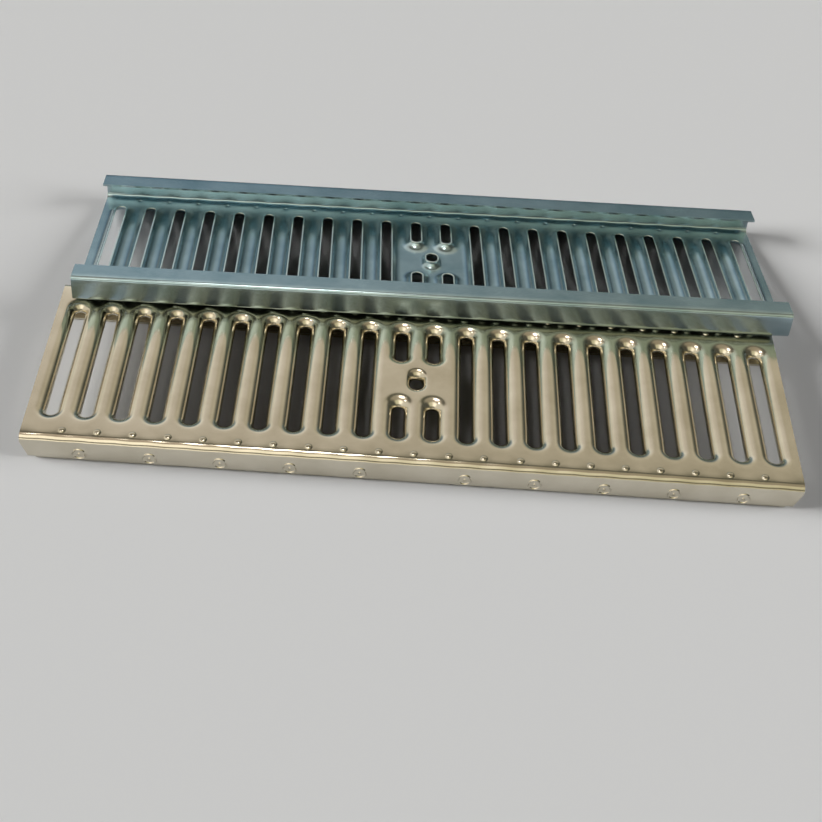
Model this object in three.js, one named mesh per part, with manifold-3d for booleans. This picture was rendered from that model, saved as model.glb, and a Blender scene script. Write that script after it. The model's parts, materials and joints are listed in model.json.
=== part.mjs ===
// A pair of pressed and folded steel slot gratings for a drain channel.
// One grating lies face up. The other lies upside down behind it: its deck leans on the rear edge
// of the first and its far edge reaches the ground.
// Each grating is one sheet in reality. Here it is parted at its bend lines into a deck panel, two
// walls and two lips. Millimetres, +Z up, +X along the slots' row.

import * as THREE from 'three';
import { mergeVertices } from 'three/addons/utils/BufferGeometryUtils.js';
import Module from 'manifold-3d';

// Sheet and channel section
const LENGTH = 500;
const WIDTH = 149;
const HEIGHT = 20;
const SHEET = 1.5;
const DECK_BEND_RADIUS = 5;
const LIP_BEND_RADIUS = 2.5;
const LIP_REACH = 17;
const SEAM_GAP = 0.3;
const CUT_MARGIN = 1;

// The upright grating's marked wall tapers at both ends, and its lip is shorter than the sheet.
const TAPER_WIDTH = 4;
const TAPER_HEIGHT = 11.7;
const LIP_INSET = 9;

// Drawn slots: a round-shouldered funnel that ends in a collar below the deck
const COLUMNS = 22;
const PITCH = 22.4;
const SLOT_HALF_WIDTH = 3.6;
const SLOT_END = 50;
const SMALL_SLOT_START = 21.5;
const FUNNEL_DEPTH = 6;
const FUNNEL_SIDE_RUN = 7.2;
const FUNNEL_END_RUN = 9;

// Locking hole in the middle of the deck, a shorter and wider funnel
const LOCK_HALF_WIDTH = 4;
const LOCK_END = 5.5;
const LOCK_SIDE_RUN = 3.6;
const LOCK_END_RUN = 6.5;

// Grip studs along both long edges of the deck, one between each two columns
const STUD_RADIUS = 2.4;
const STUD_HEIGHT = 1;
const STUD_CROWN = 0.45;
const PIT_SCALE = 0.75;
const STUD_ROW_Y = 66.7;
const STUD_STEP_AFTER = 13;
const STUD_STEP = 1.2;

// Stamped ring marks on one wall only
const MARK_COLUMNS = [2, 4, 6, 8, 10, 13, 15, 17, 19, 21];
const MARK_RADIUS = 4.3;
const MARK_BAND = 0.9;
const MARK_DOT_RADIUS = 1.1;
const MARK_RELIEF = 0.4;
const MARK_Z = 7.2;

// How the upside-down grating lies behind the other
const REAR_SHIFT_X = 7.8;
const REAR_CENTRE_Y = 130;
const REAR_YAW = THREE.MathUtils.degToRad(1.63);
const REST_GAP = 0.7;
const POSE_PASSES = 6;

// Facets
const FUNNEL_STEPS = 3;
const COLLAR_STEPS = 2;
const END_STEPS = 5;
const STUD_SIDES = 6;
const BEND_STEPS = 4;
const MARK_SIDES = 8;

const wasm = await Module();
wasm.setup();

// Columns are counted from 1 at the -X end.
const columnX = (column) => (column - (COLUMNS + 1) / 2) * PITCH;
const isSmallColumn = (column) => column === COLUMNS / 2 || column === COLUMNS / 2 + 1;
const studX = (index) => (index - COLUMNS / 2) * PITCH + (index > STUD_STEP_AFTER ? STUD_STEP : 0);

// A round-ended ring of points around (x, y), long in Y, counter-clockwise from above.
function roundEndedRing(x, y, z, halfWidth, halfLength) {
  const capY = halfLength - halfWidth;
  const ring = [];
  for (const side of [1, -1]) {
    for (let step = 0; step <= END_STEPS; step += 1) {
      const angle = (step / END_STEPS) * Math.PI;
      const px = x + side * halfWidth * Math.cos(angle);
      const py = y + side * (capY + halfWidth * Math.sin(angle));
      ring.push(new THREE.Vector3(px, py, z));
    }
  }
  return ring;
}

function circleRing(x, y, z, radius, sides) {
  const ring = [];
  for (let side = 0; side < sides; side += 1) {
    const angle = (side / sides) * 2 * Math.PI;
    ring.push(new THREE.Vector3(x + radius * Math.cos(angle), y + radius * Math.sin(angle), z));
  }
  return ring;
}

// The rings of one funnel, from the deck's top face down its mouth, round the collar's tip and
// back up the outside to the deck's underside. Both sides are quarter ellipses about one centre.
function funnelRings(opening) {
  const rings = [];
  const addRing = (angle, inset) => {
    const side = opening.sideRun - (opening.sideRun - inset) * Math.sin(angle);
    const end = opening.endRun - (opening.endRun - inset) * Math.sin(angle);
    const z = HEIGHT - FUNNEL_DEPTH + (FUNNEL_DEPTH - inset) * Math.cos(angle);
    const halfWidth = opening.halfWidth + side;
    const halfLength = opening.halfLength + end;
    rings.push(roundEndedRing(opening.x, opening.y, z, halfWidth, halfLength));
  };
  for (let step = 0; step <= FUNNEL_STEPS; step += 1) {
    addRing((step / FUNNEL_STEPS) * (Math.PI / 2), 0);
  }
  for (let step = COLLAR_STEPS; step >= 0; step -= 1) {
    addRing((step / COLLAR_STEPS) * (Math.PI / 2), SHEET);
  }
  return rings;
}

function deckOpenings() {
  const slot = { halfWidth: SLOT_HALF_WIDTH, sideRun: FUNNEL_SIDE_RUN, endRun: FUNNEL_END_RUN };
  const smallHalfLength = (SLOT_END - SMALL_SLOT_START) / 2;
  const smallY = (SLOT_END + SMALL_SLOT_START) / 2;
  const openings = [];
  for (let column = 1; column <= COLUMNS; column += 1) {
    const x = columnX(column);
    if (isSmallColumn(column)) {
      openings.push({ ...slot, x, y: smallY, halfLength: smallHalfLength });
      openings.push({ ...slot, x, y: -smallY, halfLength: smallHalfLength });
    } else {
      openings.push({ ...slot, x, y: 0, halfLength: SLOT_END });
    }
  }
  openings.push({
    x: 0,
    y: 0,
    halfWidth: LOCK_HALF_WIDTH,
    halfLength: LOCK_END,
    sideRun: LOCK_SIDE_RUN,
    endRun: LOCK_END_RUN,
  });
  return openings;
}

// A stud is a low dome on top, with a smaller pit of the same height under it.
function studRings(x, y, z, radius) {
  const crown = circleRing(x, y, z + STUD_HEIGHT, STUD_CROWN * radius, STUD_SIDES);
  return [circleRing(x, y, z, radius, STUD_SIDES), crown];
}

function studCentres() {
  const centres = [];
  for (const y of [-STUD_ROW_Y, STUD_ROW_Y]) {
    for (let index = 1; index < COLUMNS; index += 1) {
      centres.push({ x: studX(index), y });
    }
  }
  return centres;
}

// Collects triangles; facing is 1 for faces that look up and -1 for faces that look down.
class FacetList {
  constructor() {
    this.points = [];
  }

  triangle(a, b, c, facing = 1) {
    this.points.push(a, ...(facing > 0 ? [b, c] : [c, b]));
  }

  strip(outer, inner, facing = 1) {
    outer.forEach((point, index) => {
      const next = (index + 1) % outer.length;
      this.triangle(point, outer[next], inner[next], facing);
      this.triangle(point, inner[next], inner[index], facing);
    });
  }

  rings(rings, facing = 1) {
    for (let index = 1; index < rings.length; index += 1) {
      this.strip(rings[index - 1], rings[index], facing);
    }
  }

  cap(ring, facing) {
    for (let index = 2; index < ring.length; index += 1) {
      this.triangle(ring[0], ring[index - 1], ring[index], facing);
    }
  }

  plate(outline, holes, facing) {
    const points = [...outline, ...holes.flat()];
    const faces = THREE.ShapeUtils.triangulateShape([...outline], holes.map((hole) => [...hole]));
    for (const [a, b, c] of faces) {
      const [p, q, r] = [points[a], points[b], points[c]];
      const turn = (q.x - p.x) * (r.y - p.y) - (q.y - p.y) * (r.x - p.x);
      this.triangle(p, q, r, turn > 0 ? facing : -facing);
    }
  }

  geometry() {
    const geometry = new THREE.BufferGeometry().setFromPoints(this.points);
    return mergeVertices(geometry);
  }
}

function rectangle(halfLength, halfWidth, z) {
  return [
    new THREE.Vector3(-halfLength, -halfWidth, z),
    new THREE.Vector3(halfLength, -halfWidth, z),
    new THREE.Vector3(halfLength, halfWidth, z),
    new THREE.Vector3(-halfLength, halfWidth, z),
  ];
}

function deckGeometry() {
  const facets = new FacetList();
  const funnels = deckOpenings().map(funnelRings);
  const pitRadius = PIT_SCALE * STUD_RADIUS;
  const studs = studCentres().map(({ x, y }) => studRings(x, y, HEIGHT, STUD_RADIUS));
  const pits = studCentres().map(({ x, y }) => studRings(x, y, HEIGHT - SHEET, pitRadius));
  const halfWidth = WIDTH / 2 - DECK_BEND_RADIUS - SEAM_GAP;
  const top = rectangle(LENGTH / 2, halfWidth, HEIGHT);
  const bottom = rectangle(LENGTH / 2, halfWidth, HEIGHT - SHEET);
  facets.strip(top, bottom, -1);
  facets.plate(top, [...funnels, ...studs].map((rings) => rings[0]), 1);
  facets.plate(bottom, [...funnels.map((rings) => rings.at(-1)), ...pits.map((rings) => rings[0])], -1);
  funnels.forEach((rings) => facets.rings(rings));
  studs.forEach((rings) => {
    facets.rings(rings);
    facets.cap(rings.at(-1), 1);
  });
  pits.forEach((rings) => {
    facets.rings(rings, -1);
    facets.cap(rings.at(-1), -1);
  });
  return facets.geometry();
}

// An outline in (inward distance from the wall's outer face, height), extruded along X.
// ExtrudeGeometry runs along +Z, so the result is turned to lie along X at the -Y side.
function foldedStrip(shape, length) {
  const geometry = new THREE.ExtrudeGeometry(shape, { depth: length, bevelEnabled: false });
  const axes = new THREE.Matrix4().makeBasis(
    new THREE.Vector3(0, 1, 0),
    new THREE.Vector3(0, 0, 1),
    new THREE.Vector3(1, 0, 0),
  );
  geometry.applyMatrix4(axes);
  geometry.translate(-length / 2, -WIDTH / 2, 0);
  return geometry;
}

// Points of a quarter bend about (centre, centreZ), from one angle to another.
function bendArc(centre, centreZ, radius, fromAngle, toAngle) {
  const points = [];
  for (let step = 0; step <= BEND_STEPS; step += 1) {
    const angle = fromAngle + (step / BEND_STEPS) * (toAngle - fromAngle);
    points.push(new THREE.Vector2(centre + radius * Math.cos(angle), centreZ + radius * Math.sin(angle)));
  }
  return points;
}

function wallGeometry() {
  const bend = DECK_BEND_RADIUS;
  const bendZ = HEIGHT - bend;
  const footZ = LIP_BEND_RADIUS + SEAM_GAP;
  const shape = new THREE.Shape([
    ...bendArc(bend, bendZ, bend, Math.PI / 2, Math.PI),
    new THREE.Vector2(0, footZ),
    new THREE.Vector2(SHEET, footZ),
    ...bendArc(bend, bendZ, bend - SHEET, Math.PI, Math.PI / 2),
  ]);
  return foldedStrip(shape, LENGTH);
}

function lipGeometry(length) {
  const bend = LIP_BEND_RADIUS;
  const shape = new THREE.Shape([
    ...bendArc(bend, bend, bend, Math.PI, 1.5 * Math.PI),
    new THREE.Vector2(LIP_REACH, 0),
    new THREE.Vector2(LIP_REACH, SHEET),
    ...bendArc(bend, bend, bend - SHEET, 1.5 * Math.PI, Math.PI),
  ]);
  return foldedStrip(shape, length);
}

function toSolid(geometry) {
  const bare = geometry.clone();
  bare.deleteAttribute('normal');
  bare.deleteAttribute('uv');
  const merged = mergeVertices(bare);
  const vertProperties = new Float32Array(merged.attributes.position.array);
  const triVerts = new Uint32Array(merged.index.array);
  return new wasm.Manifold(new wasm.Mesh({ numProp: 3, vertProperties, triVerts }));
}

function toGeometry(solid) {
  const mesh = solid.getMesh();
  const geometry = new THREE.BufferGeometry();
  geometry.setAttribute('position', new THREE.BufferAttribute(new Float32Array(mesh.vertProperties), 3));
  geometry.setIndex(new THREE.BufferAttribute(new Uint32Array(mesh.triVerts), 1));
  geometry.computeVertexNormals();
  return geometry;
}

// A flat shape in (x, z), standing out of the -Y wall's outer face by the marks' relief.
function markSolid(shape) {
  const depth = MARK_RELIEF + SHEET / 2;
  const geometry = new THREE.ExtrudeGeometry(shape, { depth, bevelEnabled: false });
  geometry.rotateX(Math.PI / 2);
  geometry.translate(0, SHEET / 2 - WIDTH / 2, 0);
  return toSolid(geometry);
}

function polygonPath(x, z, radius) {
  return circleRing(x, z, 0, radius, MARK_SIDES).map((point) => new THREE.Vector2(point.x, point.y));
}

// A wedge that takes the lower corner off the wall at one end, up to the deck's bend.
function taperedCorner(side) {
  const foot = LIP_BEND_RADIUS + SEAM_GAP;
  const lowZ = foot - CUT_MARGIN;
  const lowWidth = TAPER_WIDTH * (1 + CUT_MARGIN / TAPER_HEIGHT);
  const end = side * (LENGTH / 2 + CUT_MARGIN);
  const shape = new THREE.Shape([
    new THREE.Vector2((side * LENGTH) / 2, foot + TAPER_HEIGHT),
    new THREE.Vector2(side * (LENGTH / 2 - lowWidth), lowZ),
    new THREE.Vector2(end, lowZ),
    new THREE.Vector2(end, foot + TAPER_HEIGHT),
  ]);
  const geometry = new THREE.ExtrudeGeometry(shape, { depth: 4 * SHEET, bevelEnabled: false });
  geometry.rotateX(Math.PI / 2);
  geometry.translate(0, 2 * SHEET - WIDTH / 2, 0);
  return toSolid(geometry);
}

function markedWallGeometry(tapered) {
  let wall = toSolid(wallGeometry());
  for (const side of tapered ? [-1, 1] : []) {
    wall = wall.subtract(taperedCorner(side));
  }
  for (const column of MARK_COLUMNS) {
    const ring = new THREE.Shape(polygonPath(columnX(column), MARK_Z, MARK_RADIUS));
    ring.holes.push(new THREE.Path(polygonPath(columnX(column), MARK_Z, MARK_RADIUS - MARK_BAND)));
    const dot = new THREE.Shape(polygonPath(columnX(column), MARK_Z, MARK_DOT_RADIUS));
    wall = wall.add(markSolid(ring)).add(markSolid(dot));
  }
  return toGeometry(wall);
}

function grating(prefix, color, roughness, tapered) {
  const panel = (name, geometry, onFarSide = false) => {
    const material = new THREE.MeshStandardMaterial({ color, roughness, metalness: 1 });
    const mesh = new THREE.Mesh(geometry, material);
    mesh.name = `${prefix}_${name}`;
    mesh.rotation.z = onFarSide ? Math.PI : 0;
    return mesh;
  };
  const group = new THREE.Group();
  group.add(panel('deck', deckGeometry()));
  group.add(panel('marked_wall', markedWallGeometry(tapered)));
  group.add(panel('marked_lip', lipGeometry(LENGTH - (tapered ? 2 * LIP_INSET : 0))));
  group.add(panel('plain_wall', wallGeometry(), true));
  group.add(panel('plain_lip', lipGeometry(LENGTH), true));
  return group;
}

// The lean at which the upside-down deck clears the studs of the grating in front by REST_GAP
// while its farthest stud touches the ground.
function restingPose() {
  const farStudY = STUD_ROW_Y * Math.cos(REAR_YAW) + studX(COLUMNS - 1) * Math.sin(REAR_YAW);
  const farReach = farStudY + STUD_CROWN * STUD_RADIUS;
  const nearReach = REAR_CENTRE_Y - STUD_ROW_Y;
  const supportZ = HEIGHT + STUD_HEIGHT + REST_GAP;
  let lean = 0;
  for (let pass = 0; pass < POSE_PASSES; pass += 1) {
    const rise = supportZ - STUD_HEIGHT * Math.cos(lean);
    lean = Math.asin(rise / (farReach + nearReach / Math.cos(lean)));
  }
  return { lean, deckZ: supportZ - nearReach * Math.tan(lean) };
}

// Turned over about X so that the marked wall is the far one, then yawed, then leaned.
function upsideDown(child) {
  const { lean, deckZ } = restingPose();
  child.rotation.x = Math.PI;
  child.position.z = HEIGHT;
  const yawed = new THREE.Group().add(child);
  yawed.rotation.z = REAR_YAW;
  const leaned = new THREE.Group().add(yawed);
  leaned.rotation.x = -lean;
  leaned.position.set(REAR_SHIFT_X, REAR_CENTRE_Y, deckZ);
  return leaned;
}

// The origin is on the ground under the middle of the pair.
function centredOnGround(child) {
  child.updateMatrixWorld(true);
  const centre = new THREE.Box3().setFromObject(child, true).getCenter(new THREE.Vector3());
  child.position.set(-centre.x, -centre.y, 0);
  return new THREE.Group().add(child);
}

const upright = grating('upright', '#b5a996', 0.34, true);
const inverted = grating('inverted', '#6f868f', 0.3, false);
const pair = new THREE.Group().add(upright, upsideDown(inverted));

export default centredOnGround(pair);
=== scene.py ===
"""A pair of pressed steel slot gratings: one face up, one upside down leaning on it.

Each grating is one folded sheet. It is laid out flat as (x, s, h): x along the length, s across
the sheet along its outer face, h out of that face. It is pierced and drawn flat, then folded into
walls and lips. Shapes are in millimetres, deck up and lips on z = 0, and are scaled at the end.
"""
import json
import math

import bmesh
import bpy
import numpy as np
from mathutils import Matrix, Vector
from mathutils.geometry import delaunay_2d_cdt


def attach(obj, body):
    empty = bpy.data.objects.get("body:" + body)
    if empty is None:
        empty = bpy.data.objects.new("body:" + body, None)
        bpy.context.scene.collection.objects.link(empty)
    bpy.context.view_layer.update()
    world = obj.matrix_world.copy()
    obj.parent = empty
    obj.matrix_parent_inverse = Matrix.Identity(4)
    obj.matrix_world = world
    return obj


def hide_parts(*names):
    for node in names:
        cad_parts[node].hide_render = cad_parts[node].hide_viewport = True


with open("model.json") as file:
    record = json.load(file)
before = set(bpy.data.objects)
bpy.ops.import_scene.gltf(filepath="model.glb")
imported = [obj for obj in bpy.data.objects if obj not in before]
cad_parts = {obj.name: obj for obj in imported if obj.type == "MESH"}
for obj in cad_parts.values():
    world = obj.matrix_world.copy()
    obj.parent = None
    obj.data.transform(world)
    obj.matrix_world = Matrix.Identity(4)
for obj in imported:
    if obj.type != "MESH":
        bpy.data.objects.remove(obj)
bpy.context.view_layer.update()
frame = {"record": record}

MM = 0.001
QUARTER = math.pi / 2

# Sheet and channel section
HALF_LENGTH = 250.0
HALF_WIDTH = 74.5
HEIGHT = 20.0
SHEET = 1.5
DECK_BEND = 5.0
LIP_BEND = 2.5
LIP_REACH = 17.0

# Stations across the unfolded sheet, from its middle
DECK_EDGE = HALF_WIDTH - DECK_BEND
WALL_START = DECK_EDGE + DECK_BEND * QUARTER
WALL_DEPTH = HEIGHT - DECK_BEND - LIP_BEND
WALL_END = WALL_START + WALL_DEPTH
LIP_START = WALL_END + LIP_BEND * QUARTER
LIP_END = LIP_START + LIP_REACH - LIP_BEND

# Ends of the upright grating's marked side
TAPER_WIDTH = 4.0
TAPER_GAP = 0.5
TAPER_START = WALL_START + TAPER_GAP
LIP_INSET = 9.0

# Drawn slots, and the wider locking hole in the middle
COLUMNS = 22
PITCH = 22.4
SLOT = {"half_width": 3.6, "side_run": 7.2, "end_run": 9.0}
LOCK = {"half_width": 4.0, "side_run": 3.6, "end_run": 6.5}
SLOT_END = 50.0
SMALL_SLOT_START = 21.5
LOCK_END = 5.5
FUNNEL_DEPTH = 6.0
COLLAR_SHEET = 1.15
COLLAR_TURN = math.radians(72)

# The collar's flat tip, as (share across its sheet, share down half of that sheet)
COLLAR_TIP = ((0.0, 0.6), (0.14, 1.0), (0.86, 1.0), (1.0, 0.6))

# Grip studs, with a smaller pit under each; the powers shape a dome's flat top and its steep side
STUD_RADIUS = 2.6
STUD_HEIGHT = 1.0
DOME_TOP_POWER = 3.6
DOME_SIDE_POWER = 0.8
PIT_SCALE = 0.75
STUD_ROW = 66.7
STUD_STEP_AFTER = 13
STUD_STEP = 1.2

# Ring marks on one wall
MARK_COLUMNS = (2, 4, 6, 8, 10, 13, 15, 17, 19, 21)
MARK_RADIUS = 5.2
MARK_RING = 4.1
MARK_RING_SPREAD = 0.50
MARK_DOT_SPREAD = 1.0
MARK_RELIEF = 0.75
MARK_HEIGHT = 7.2
MARK_STATION = WALL_START + HEIGHT - DECK_BEND - MARK_HEIGHT

# The deck's edge dips a little between the slots
DIP = 0.28
DIP_STATION = 71.0
DIP_SPREAD = 5.0

# Mesh density
GRID = 2.8
RING_CAP = 14
RING_STRAIGHT = 10
FUNNEL_RINGS = 14
ROUND_SIDES = 28
ROUND_RINGS = 9
MARK_RINGS = 26
BEND_ROWS = 9
SHARP_ANGLE = math.radians(42)

# Grid points keep this far from a hole, and by these shares clear of the outline and its corners
HOLE_MARGIN = 0.25 * GRID
OUTLINE_SHRINK = 1e-7
CORNER_TOLERANCE = 1e-6

# Points this near each other, or alike to this many decimals, become one
MERGE_TOLERANCE = 1e-5
ROW_DIGITS = 6
WELD_DIGITS = 3


def column_x(column):
    """Slot columns are counted from 1 at the -x end."""
    return (column - (COLUMNS + 1) / 2) * PITCH


def stud_x(index):
    return (index - COLUMNS / 2) * PITCH + (STUD_STEP if index > STUD_STEP_AFTER else 0.0)


def fold(flat):
    """Unfolded points to the folded grating, in its own frame."""
    x, s, h = flat.T
    reach = np.abs(s)
    deck_turn = np.clip((reach - DECK_EDGE) / DECK_BEND, 0, QUARTER)
    lip_turn = np.clip((reach - WALL_END) / LIP_BEND, 0, QUARTER)
    wall_run = np.clip(reach - WALL_START, 0, WALL_DEPTH)
    lip_run = np.clip(reach - LIP_START, 0, None)
    facing = deck_turn + lip_turn
    y = np.minimum(reach, DECK_EDGE) + DECK_BEND * np.sin(deck_turn)
    y = y - LIP_BEND * (1 - np.cos(lip_turn)) - lip_run + h * np.sin(facing)
    z = HEIGHT - DECK_BEND * (1 - np.cos(deck_turn)) - wall_run
    z = z - LIP_BEND * np.sin(lip_turn) + h * np.cos(facing)
    near_edge = np.exp(-(((reach - DIP_STATION) / DIP_SPREAD) ** 2))
    between_slots = 0.5 + 0.5 * np.cos(2 * math.pi * x / PITCH)
    z = z - DIP * near_edge * between_slots
    return np.column_stack([x, np.sign(s) * y, z])


def oblong_ring(x, s, h, half_width, half_length):
    """A round-ended ring around (x, s), long in s, with evenly shared points."""
    cap = half_length - half_width
    turn = np.linspace(0, math.pi, RING_CAP, endpoint=False)
    run = np.linspace(1, -1, RING_STRAIGHT, endpoint=False)
    px = np.concatenate([half_width * np.cos(turn), np.full(RING_STRAIGHT, -half_width)])
    ps = np.concatenate([cap + half_width * np.sin(turn), cap * run])
    ring = np.column_stack([np.concatenate([px, -px]), np.concatenate([ps, -ps])])
    return np.column_stack([ring[:, 0] + x, ring[:, 1] + s, np.full(len(ring), h)])


def funnel_rings(opening):
    """From the deck's top down the mouth, round the collar's flat tip and up its outside."""
    rings = []
    tip = COLLAR_SHEET / 2
    low = FUNNEL_DEPTH - tip

    def add(side, end, depth):
        half_width = opening["half_width"] + side
        half_length = opening["half_length"] + end
        rings.append(oblong_ring(opening["x"], opening["s"], -depth, half_width, half_length))

    def shares(angle):
        """How far in and how far down the quarter bend has come at an angle."""
        inwards = math.sin(angle) / math.sin(COLLAR_TURN)
        down = (1 - math.cos(angle)) / (1 - math.cos(COLLAR_TURN))
        return inwards, down

    for angle in np.linspace(0, COLLAR_TURN, FUNNEL_RINGS):
        inwards, down = shares(angle)
        add(opening["side_run"] * (1 - inwards), opening["end_run"] * (1 - inwards), low * down)
    for across, down in COLLAR_TIP:
        add(across * COLLAR_SHEET, across * COLLAR_SHEET, low + tip * down)
    for angle in np.linspace(COLLAR_TURN, 0, FUNNEL_RINGS):
        inwards, down = shares(angle)
        side = opening["side_run"] - (opening["side_run"] - COLLAR_SHEET) * inwards
        end = opening["end_run"] - (opening["end_run"] - COLLAR_SHEET) * inwards
        add(side, end, SHEET + (low - SHEET) * down)
    return rings


def deck_openings():
    openings = []
    small_half = (SLOT_END - SMALL_SLOT_START) / 2
    small_s = (SLOT_END + SMALL_SLOT_START) / 2
    for column in range(1, COLUMNS + 1):
        x = column_x(column)
        if abs(x) < PITCH:
            openings.append({**SLOT, "x": x, "s": small_s, "half_length": small_half})
            openings.append({**SLOT, "x": x, "s": -small_s, "half_length": small_half})
        else:
            openings.append({**SLOT, "x": x, "s": 0.0, "half_length": SLOT_END})
    openings.append({**LOCK, "x": 0.0, "s": 0.0, "half_length": LOCK_END})
    return openings


def round_rings(x, s, h, radius, profile, count=ROUND_RINGS):
    """Rings from a circle's edge to near its middle; profile(r) is the height added there."""
    turn = np.linspace(0, 2 * math.pi, ROUND_SIDES, endpoint=False)
    rings = []
    for share in np.linspace(1, 0, count, endpoint=False):
        r = radius * share
        height = np.full(ROUND_SIDES, h + profile(r))
        rings.append(np.column_stack([x + r * np.cos(turn), s + r * np.sin(turn), height]))
    return rings


def dome(radius, height):
    return lambda r: height * (1 - (r / radius) ** DOME_TOP_POWER) ** DOME_SIDE_POWER


def mark_profile(r):
    ring = math.exp(-(((r - MARK_RING) / MARK_RING_SPREAD) ** 2))
    dot = math.exp(-((r / MARK_DOT_SPREAD) ** 2))
    fade = min(1.0, (MARK_RADIUS - r) / MARK_RING_SPREAD)
    return MARK_RELIEF * (ring + dot) * fade


def stud_places():
    return [(stud_x(index), s) for s in (-STUD_ROW, STUD_ROW) for index in range(1, COLUMNS)]


def rows_across():
    """Grid stations from the middle of the sheet to a lip's free edge."""
    deck = np.linspace(0, DECK_EDGE, round(DECK_EDGE / GRID) + 1)
    deck_bend = np.linspace(DECK_EDGE, WALL_START, BEND_ROWS + 1)
    wall = np.linspace(WALL_START, WALL_END, round(WALL_DEPTH / GRID) + 1)
    lip_bend = np.linspace(WALL_END, LIP_START, BEND_ROWS)
    lip = np.linspace(LIP_START, LIP_END, round((LIP_END - LIP_START) / GRID) + 1)
    half = np.unique(np.concatenate([deck, deck_bend, wall, lip_bend, lip]).round(ROW_DIGITS))
    return np.concatenate([-half[:0:-1], half])


def outline_corners(tapered):
    """The unfolded sheet's corners, with the marked side at -s."""
    right = [(HALF_LENGTH, LIP_END)]
    if tapered:
        right += [
            (HALF_LENGTH, -TAPER_START),
            (HALF_LENGTH - TAPER_WIDTH, -WALL_END),
            (HALF_LENGTH - LIP_INSET, -WALL_END),
            (HALF_LENGTH - LIP_INSET, -LIP_END),
        ]
    else:
        right += [(HALF_LENGTH, -LIP_END)]
    return right + [(-x, s) for x, s in reversed(right)]


def outline_loop(corners, columns, rows):
    """The outline with a point at every grid line that it crosses."""
    loop = []
    for (x0, s0), (x1, s1) in zip(corners, corners[1:] + corners[:1]):
        if s0 == s1:
            shares = (columns - x0) / (x1 - x0)
        else:
            shares = (rows - s0) / (s1 - s0)
        clear = (shares > CORNER_TOLERANCE) & (shares < 1 - CORNER_TOLERANCE)
        inner = np.sort(shares[clear])
        for share in np.concatenate([[0.0], inner]):
            loop.append((x0 + share * (x1 - x0), s0 + share * (s1 - s0)))
    return np.array(loop)


def inside(points, loop):
    """Which points lie inside a closed loop."""
    result = np.zeros(len(points), bool)
    near = np.all((points >= loop.min(0)) & (points <= loop.max(0)), axis=1)
    px, ps = points[near].T
    hit = np.zeros(near.sum(), bool)
    for (x0, s0), (x1, s1) in zip(loop, np.roll(loop, -1, axis=0)):
        crosses = (s0 > ps) != (s1 > ps)
        if s0 != s1:
            hit ^= crosses & (px < x0 + (ps - s0) * (x1 - x0) / (s1 - s0))
    result[near] = hit
    return result


def grown(loop, margin):
    """A loop widened about its middle by a margin along x and along s."""
    middle = loop.mean(0)
    offset = loop - middle
    half = np.abs(offset).max(0)
    return middle + offset * (half + margin) / half


class Sheet:
    """Points and faces of one closed sheet, in unfolded coordinates."""

    def __init__(self):
        self.points = []
        self.faces = []
        self.count = 0

    def add(self, points):
        start = self.count
        self.points.append(points)
        self.count += len(points)
        return start

    def loft(self, rings, closed_middle=False):
        starts = [self.add(ring) for ring in rings]
        size = len(rings[0])
        for a, b in zip(starts, starts[1:]):
            for i in range(size):
                j = (i + 1) % size
                self.faces.append((a + i, a + j, b + j, b + i))
        if closed_middle:
            middle = self.add(rings[-1].mean(0, keepdims=True))
            for i in range(size):
                self.faces.append((starts[-1] + i, starts[-1] + (i + 1) % size, middle))

    def plate(self, outline, holes, columns, rows, h):
        """A flat face of the sheet with holes, on a grid that keeps clear of every edge."""
        grid = np.array(np.meshgrid(columns, rows)).reshape(2, -1).T
        keep = inside(grid, outline * (1 - OUTLINE_SHRINK))
        for hole in holes:
            keep &= ~inside(grid, grown(hole, HOLE_MARGIN))
        loops = [outline] + holes
        edges = []
        start = 0
        for loop in loops:
            edges += [(start + i, start + (i + 1) % len(loop)) for i in range(len(loop))]
            start += len(loop)
        flat = np.concatenate(loops + [grid[keep]])
        made = delaunay_2d_cdt([Vector(p) for p in flat], edges, [], 0, MERGE_TOLERANCE)
        points = np.array([tuple(p) for p in made[0]])
        faces = np.array(made[2])
        middles = points[faces].mean(1)
        wanted = inside(middles, outline)
        for hole in holes:
            wanted &= ~inside(middles, hole)
        start = self.add(np.column_stack([points, np.full(len(points), h)]))
        self.faces += [tuple(start + face) for face in faces[wanted]]

    def mesh(self, name):
        """Points that meet are welded, and the sheet is folded and scaled to metres."""
        flat = np.concatenate(self.points)
        rounded = flat.round(WELD_DIGITS)
        _, first, back = np.unique(rounded, axis=0, return_index=True, return_inverse=True)
        flat = flat[first]
        back = back.ravel()
        faces = []
        for face in self.faces:
            ring = [back[i] for i in face]
            ring = [v for i, v in enumerate(ring) if v != ring[i - 1]]
            if len(set(ring)) > 2:
                faces.append(ring)
        mesh = bpy.data.meshes.new(name)
        mesh.from_pydata((fold(flat) * MM).tolist(), [], faces)
        laid_out = mesh.attributes.new("laid_out", "FLOAT_VECTOR", "POINT")
        laid_out.data.foreach_set("vector", (flat * MM).astype(np.float32).ravel())
        work = bmesh.new()
        work.from_mesh(mesh)
        bmesh.ops.recalc_face_normals(work, faces=work.faces)
        work.to_mesh(mesh)
        work.free()
        mesh.shade_smooth()
        mesh.set_sharp_from_angle(angle=SHARP_ANGLE)
        return mesh


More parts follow.
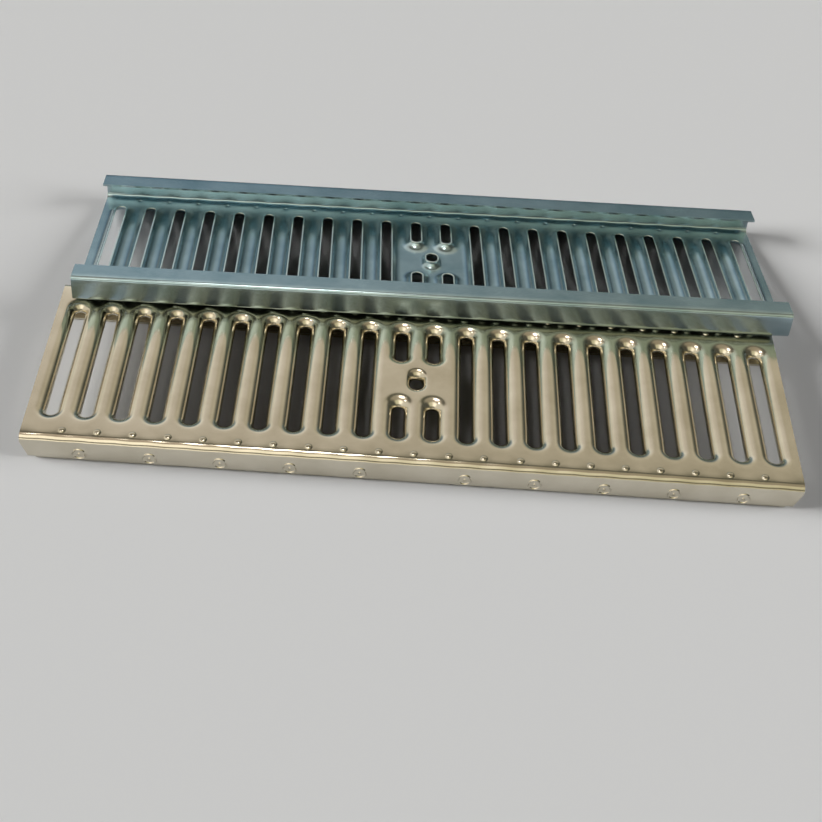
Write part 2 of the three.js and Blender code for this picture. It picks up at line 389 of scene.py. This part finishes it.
def grating_mesh(name, tapered):
    sheet = Sheet()
    columns = np.linspace(-HALF_LENGTH, HALF_LENGTH, round(2 * HALF_LENGTH / GRID) + 1)
    rows = rows_across()
    outline = outline_loop(outline_corners(tapered), columns, rows)
    edge = np.column_stack([outline, np.zeros(len(outline))])
    sheet.loft([edge, edge - (0, 0, SHEET)])
    funnels = [funnel_rings(opening) for opening in deck_openings()]
    top_holes = [rings[0] for rings in funnels]
    bottom_holes = [rings[-1] for rings in funnels]
    for rings in funnels:
        sheet.loft(rings)
    for x, s in stud_places():
        stud = round_rings(x, s, 0.0, STUD_RADIUS, dome(STUD_RADIUS, STUD_HEIGHT))
        pit_radius = PIT_SCALE * STUD_RADIUS
        pit = round_rings(x, s, -SHEET, pit_radius, dome(pit_radius, PIT_SCALE * STUD_HEIGHT))
        sheet.loft(stud, closed_middle=True)
        sheet.loft(pit, closed_middle=True)
        top_holes.append(stud[0])
        bottom_holes.append(pit[0])
    for column in MARK_COLUMNS:
        x = column_x(column)
        mark = round_rings(x, -MARK_STATION, 0.0, MARK_RADIUS, mark_profile, MARK_RINGS)
        sheet.loft(mark, closed_middle=True)
        top_holes.append(mark[0])
    sheet.plate(outline, [hole[:, :2] for hole in top_holes], columns, rows, 0.0)
    sheet.plate(outline, [hole[:, :2] for hole in bottom_holes], columns, rows, -SHEET)
    return sheet.mesh(name)


def placement(prefix):
    """Where a grating's own frame lies, from the record's mounts on its two lips."""
    mounts = {mount["name"]: mount for mount in frame["record"]["mounts"]}
    marked = mounts[f"{prefix}_marked_lip_seat"]
    plain = mounts[f"{prefix}_plain_lip_seat"]
    start, end = Vector(marked["pos_m"]), Vector(plain["pos_m"])
    up = -Vector(marked["axis"]).normalized()
    across = (end - start).normalized()
    along = across.cross(up)
    matrix = Matrix((along, across, up)).transposed().to_4x4()
    matrix.translation = (start + end) / 2
    return matrix


# Materials

# Zinc's mottled tone, its grain, stretched along the sheet, and its fine spangle
MOTTLE_SCALE = 26.0
MOTTLE_STOPS = (0.34, 0.5, 0.68)
GRAIN_STRETCH = (60.0, 2200.0, 2200.0)
SPANGLE_SCALE = 900.0
NOISE_RANGE = (0.3, 0.7)
ROUGHNESS_SPAN = (-0.05, 0.06)
BUMP_DISTANCE = 0.00004

# The collars' cut rims are painted pale between these depths, a painted highlight on their tips
RIM_HIGHLIGHT_START = 5.3
RIM_HIGHLIGHT_FULL = 5.7

# Two copies of one zinc whose warm and blue tones are painted reflections of the surroundings each
# grating mirrors
ZINC_PAINTED_WARM_REFLECTION = {
    "deep": (0.60, 0.55, 0.44),
    "tint": (0.66, 0.61, 0.50),
    "pale": (0.72, 0.67, 0.56),
    "rim_highlight": (0.90, 0.86, 0.74),
    "roughness": 0.16,
    "grit": 0.12,
}
ZINC_PAINTED_BLUE_REFLECTION = {
    "deep": (0.33, 0.46, 0.51),
    "tint": (0.41, 0.53, 0.58),
    "pale": (0.48, 0.61, 0.66),
    "rim_highlight": (0.86, 0.95, 0.92),
    "roughness": 0.21,
    "grit": 0.05,
}


def fill_ramp(elements, stops):
    """Sets a new colour ramp's stops, as (position, tone)."""
    elements.remove(elements[0])
    for number, (position, tone) in enumerate(stops):
        element = elements[0] if number == 0 else elements.new(position)
        element.position = position
        element.color = (*tone, 1.0)


def mix_tones(tree, factor, first, second):
    """A blend of two tones, each a socket or a constant."""
    made = tree.nodes.new("ShaderNodeMix")
    made.data_type = "RGBA"
    tree.links.new(factor, made.inputs["Factor"])
    for socket, tone in ((made.inputs[6], first), (made.inputs[7], second)):
        if isinstance(tone, tuple):
            socket.default_value = (*tone, 1.0)
        else:
            tree.links.new(tone, socket)
    return made.outputs[2]


def smooth_step(tree, value, start, end):
    """A smooth 0 to 1 while value goes from start to end."""
    made = tree.nodes.new("ShaderNodeMapRange")
    made.interpolation_type = "SMOOTHSTEP"
    made.inputs["From Min"].default_value = start
    made.inputs["From Max"].default_value = end
    tree.links.new(value, made.inputs["Value"])
    return made.outputs["Result"]


def zinc_material(name, deep, tint, pale, rim_highlight, roughness, grit):
    """Passivated zinc: a mottled tone, a painted highlight on the collars' cut rims, faint rolling
    grain, and fine spangle.
    """
    material = bpy.data.materials.new(name)
    material.use_nodes = True
    tree = material.node_tree
    shader = tree.nodes["Principled BSDF"]
    shader.inputs["Metallic"].default_value = 1.0

    def node(kind, **inputs):
        made = tree.nodes.new(kind)
        for key, value in inputs.items():
            made.inputs[key].default_value = value
        return made

    def link(source, socket, target, target_socket):
        tree.links.new(source.outputs[socket], target.inputs[target_socket])

    place = node("ShaderNodeAttribute")
    place.attribute_name = "laid_out"
    grain_place = node("ShaderNodeMapping", Scale=GRAIN_STRETCH)
    link(place, "Vector", grain_place, "Vector")

    mottle = node("ShaderNodeTexNoise", Scale=MOTTLE_SCALE, Detail=4.0, Roughness=0.55)
    link(place, "Vector", mottle, "Vector")
    tone = node("ShaderNodeValToRGB")
    fill_ramp(tone.color_ramp.elements, zip(MOTTLE_STOPS, (deep, tint, pale)))
    link(mottle, "Fac", tone, "Fac")

    parts = node("ShaderNodeSeparateXYZ")
    link(place, "Vector", parts, "Vector")
    # Paler tone at the collar tips: a painted highlight
    at_rim_highlight = smooth_step(tree, parts.outputs["Z"], -RIM_HIGHLIGHT_START * MM, -RIM_HIGHLIGHT_FULL * MM)
    color = mix_tones(tree, at_rim_highlight, tone.outputs["Color"], rim_highlight)
    tree.links.new(color, shader.inputs["Base Color"])

    grain = node("ShaderNodeTexNoise", Scale=1.0, Detail=3.0, Roughness=0.6)
    link(grain_place, "Vector", grain, "Vector")
    spangle = node("ShaderNodeTexNoise", Scale=SPANGLE_SCALE, Detail=2.0, Roughness=0.5)
    link(place, "Vector", spangle, "Vector")
    mixed = node("ShaderNodeMix", Factor=0.5)
    link(grain, "Fac", mixed, "A")
    link(spangle, "Fac", mixed, "B")
    gloss = node("ShaderNodeMapRange")
    gloss.inputs["From Min"].default_value = NOISE_RANGE[0]
    gloss.inputs["From Max"].default_value = NOISE_RANGE[1]
    gloss.inputs["To Min"].default_value = roughness + ROUGHNESS_SPAN[0]
    gloss.inputs["To Max"].default_value = roughness + ROUGHNESS_SPAN[1]
    link(mixed, "Result", gloss, "Value")
    link(gloss, "Result", shader, "Roughness")
    bump = node("ShaderNodeBump", Strength=grit, Distance=BUMP_DISTANCE)
    link(mixed, "Result", bump, "Height")
    link(bump, "Normal", shader, "Normal")
    return material


def add_grating(prefix, material, tapered):
    """One grating as a single sheet that stands for its five CAD panels."""
    name = f"{prefix}_grating_sheet"
    mesh = grating_mesh(name, tapered)
    mesh.transform(placement(prefix))
    piece = bpy.data.objects.new(name, mesh)
    bpy.context.collection.objects.link(piece)
    piece.data.materials.append(material)
    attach(piece, f"{prefix}_grating")
    nodes = frame["record"]["behaviour"]["bodies"][f"{prefix}_grating"]
    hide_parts(*nodes)


# Stage, light and camera

FLOOR_SIZE = 12.0
FLOOR_TONE = (0.80, 0.80, 0.79)
FLOOR_ROUGHNESS = 0.9
FLOOR_SPECULAR = 0.1

# What the metal mirrors: tones by the angle over the object, where 0 is level behind it, 90 is
# overhead, 180 is level in front and 270 is straight down. The first tone is for the left half and
# the second for the right.
SURROUND = (
    (0, (0.010, 0.010, 0.010), (0.010, 0.010, 0.010)),
    (10, (0.05, 0.07, 0.09), (0.04, 0.05, 0.055)),
    (18, (0.18, 0.26, 0.33), (0.14, 0.19, 0.21)),
    (22, (0.31, 0.39, 0.43), (0.24, 0.28, 0.27)),
    (25, (0.40, 0.48, 0.52), (0.31, 0.33, 0.31)),
    (29, (1.02, 1.00, 0.93), (0.50, 0.47, 0.36)),
    (43, (0.74, 0.69, 0.62), (0.62, 0.57, 0.46)),
    (51, (0.66, 0.61, 0.53), (0.48, 0.44, 0.35)),
    (57, (0.11, 0.10, 0.07), (0.12, 0.12, 0.08)),
    (66, (0.10, 0.10, 0.08), (0.09, 0.09, 0.07)),
    (76, (0.42, 0.35, 0.28), (0.40, 0.36, 0.27)),
    (104, (0.52, 0.43, 0.34), (0.38, 0.33, 0.24)),
    (113, (1.60, 1.50, 1.27), (0.75, 0.71, 0.50)),
    (143, (1.60, 1.50, 1.27), (0.75, 0.71, 0.50)),
    (151, (0.20, 0.19, 0.15), (0.14, 0.13, 0.10)),
    (163, (0.24, 0.23, 0.18), (0.16, 0.15, 0.11)),
    (169, (1.60, 1.50, 1.27), (0.70, 0.66, 0.46)),
    (180, (1.60, 1.50, 1.27), (0.70, 0.66, 0.46)),
    (183, (0.05, 0.05, 0.04), (0.07, 0.06, 0.05)),
    (360, (0.010, 0.010, 0.010), (0.010, 0.010, 0.010)),
)

# The surround's strength off a dull surface, such as the floor, and the tones of its two sides
SURROUND_ON_FLOOR = 0.02
LEFT_SIDE = (0.80, 0.76, 0.66)
RIGHT_SIDE = (0.10, 0.10, 0.08)

# Where along x, in a unit direction, the halves blend and where each half becomes its side's tone
HALVES_BLEND = (-0.22, 0.24)
SIDE_BLEND = (0.42, 0.72)

# What the camera sees past the floor
BACKDROP = (0.60, 0.60, 0.59)

# Round lamps overhead that only the metal mirrors, as (place, width, power)
LAMPS = (
    ((-0.144, 0.05, 1.08), 0.27, 1.6),
    ((-0.62, -0.05, 1.05), 0.16, 0.5),
)
LAMP_TONE = (1.0, 0.97, 0.90)

# Low, even light for the floor alone, as (direction that it comes from, strength)
FLOOR_LIGHTS = (
    ((-2.4, 0.0, 0.8), 4.6),
    ((2.4, 0.0, 0.8), 2.4),
)
FLOOR_LIGHT_SPREAD = math.radians(30)


def add_floor():
    bpy.ops.mesh.primitive_plane_add(size=FLOOR_SIZE, location=(0, 0, 0))
    floor = bpy.context.object
    floor.name = "floor"
    material = bpy.data.materials.new("pale_floor")
    material.use_nodes = True
    shader = material.node_tree.nodes["Principled BSDF"]
    shader.inputs["Base Color"].default_value = (*FLOOR_TONE, 1.0)
    shader.inputs["Roughness"].default_value = FLOOR_ROUGHNESS
    shader.inputs["Specular IOR Level"].default_value = FLOOR_SPECULAR
    floor.data.materials.append(material)


def add_world():
    """A studio surround that the metal mirrors, which hardly lights the floor."""
    world = bpy.data.worlds.new("studio")
    bpy.context.scene.world = world
    world.use_nodes = True
    tree = world.node_tree

    def node(kind, operation=None):
        made = tree.nodes.new(kind)
        if operation:
            made.operation = operation
        return made

    def ramp(value, stops):
        made = node("ShaderNodeValToRGB")
        fill_ramp(made.color_ramp.elements, stops)
        tree.links.new(value, made.inputs["Fac"])
        return made.outputs["Color"]

    direction = node("ShaderNodeTexCoord").outputs["Generated"]
    parts = node("ShaderNodeSeparateXYZ")
    tree.links.new(direction, parts.inputs["Vector"])
    angle = node("ShaderNodeMath", "ARCTAN2")
    tree.links.new(parts.outputs["Z"], angle.inputs[0])
    tree.links.new(parts.outputs["Y"], angle.inputs[1])
    turn = node("ShaderNodeMath", "DIVIDE")
    turn.inputs[1].default_value = 2 * math.pi
    tree.links.new(angle.outputs[0], turn.inputs[0])
    share = node("ShaderNodeMath", "FRACT")
    tree.links.new(turn.outputs[0], share.inputs[0])
    left = ramp(share.outputs[0], [(degrees / 360, tone) for degrees, tone, _ in SURROUND])
    right = ramp(share.outputs[0], [(degrees / 360, tone) for degrees, _, tone in SURROUND])

    x = parts.outputs["X"]
    start, end = SIDE_BLEND
    color = mix_tones(tree, smooth_step(tree, x, *HALVES_BLEND), left, right)
    color = mix_tones(tree, smooth_step(tree, x, -start, -end), color, LEFT_SIDE)
    color = mix_tones(tree, smooth_step(tree, x, start, end), color, RIGHT_SIDE)
    path = node("ShaderNodeLightPath")
    color = mix_tones(tree, path.outputs["Is Camera Ray"], color, BACKDROP)
    background = tree.nodes["Background"]
    tree.links.new(color, background.inputs["Color"])
    strength = node("ShaderNodeMapRange")
    strength.inputs["To Min"].default_value = 1.0
    strength.inputs["To Max"].default_value = SURROUND_ON_FLOOR
    tree.links.new(path.outputs["Diffuse Depth"], strength.inputs["Value"])
    tree.links.new(strength.outputs["Result"], background.inputs["Strength"])


def add_light(name, kind, place, power, on_metal):
    """A soft light aimed at the object, for the metal alone or for the floor alone."""
    light = bpy.data.lights.new(name, kind)
    light.energy = power
    holder = bpy.data.objects.new(name, light)
    bpy.context.collection.objects.link(holder)
    holder.location = place
    holder.rotation_euler = (-Vector(place)).to_track_quat("-Z", "Y").to_euler()
    holder.visible_camera = False
    holder.visible_glossy = on_metal
    holder.visible_diffuse = not on_metal
    return light


# The photograph's view: where the camera stands, its turn in degrees, and a small shift
CAMERA_PLACE = (-0.0327, -0.7254, 0.6714)
CAMERA_TURN = (44.248, -3.259, 2.258)
CAMERA_LENS_RATIO = 1.6785
CAMERA_SHIFT = (0.0230, -0.0143)
SENSOR_WIDTH = 36.0
NEAR_CLIP = 0.01


def add_camera():
    camera = bpy.data.cameras.new("camera")
    camera.sensor_width = SENSOR_WIDTH
    camera.lens = CAMERA_LENS_RATIO * SENSOR_WIDTH
    camera.shift_x, camera.shift_y = CAMERA_SHIFT
    camera.clip_start = NEAR_CLIP
    holder = bpy.data.objects.new("camera", camera)
    bpy.context.collection.objects.link(holder)
    holder.location = CAMERA_PLACE
    holder.rotation_euler = [math.radians(angle) for angle in CAMERA_TURN]
    bpy.context.scene.camera = holder


bpy.context.scene.view_settings.view_transform = "Standard"
add_camera()
# The upright grating gets the painted warm reflection tint and the inverted one the painted blue
# reflection tint
warm_zinc = zinc_material("warm_zinc", **ZINC_PAINTED_WARM_REFLECTION)
blue_zinc = zinc_material("blue_zinc", **ZINC_PAINTED_BLUE_REFLECTION)
add_grating("upright", warm_zinc, True)
add_grating("inverted", blue_zinc, False)
add_floor()
add_world()
for number, (place, width, power) in enumerate(LAMPS, 1):
    lamp = add_light(f"lamp_{number}", "AREA", place, power, True)
    lamp.shape = "DISK"
    lamp.size = width
    lamp.color = LAMP_TONE
for number, (place, power) in enumerate(FLOOR_LIGHTS, 1):
    light = add_light(f"floor_light_{number}", "SUN", place, power, False)
    light.angle = FLOOR_LIGHT_SPREAD
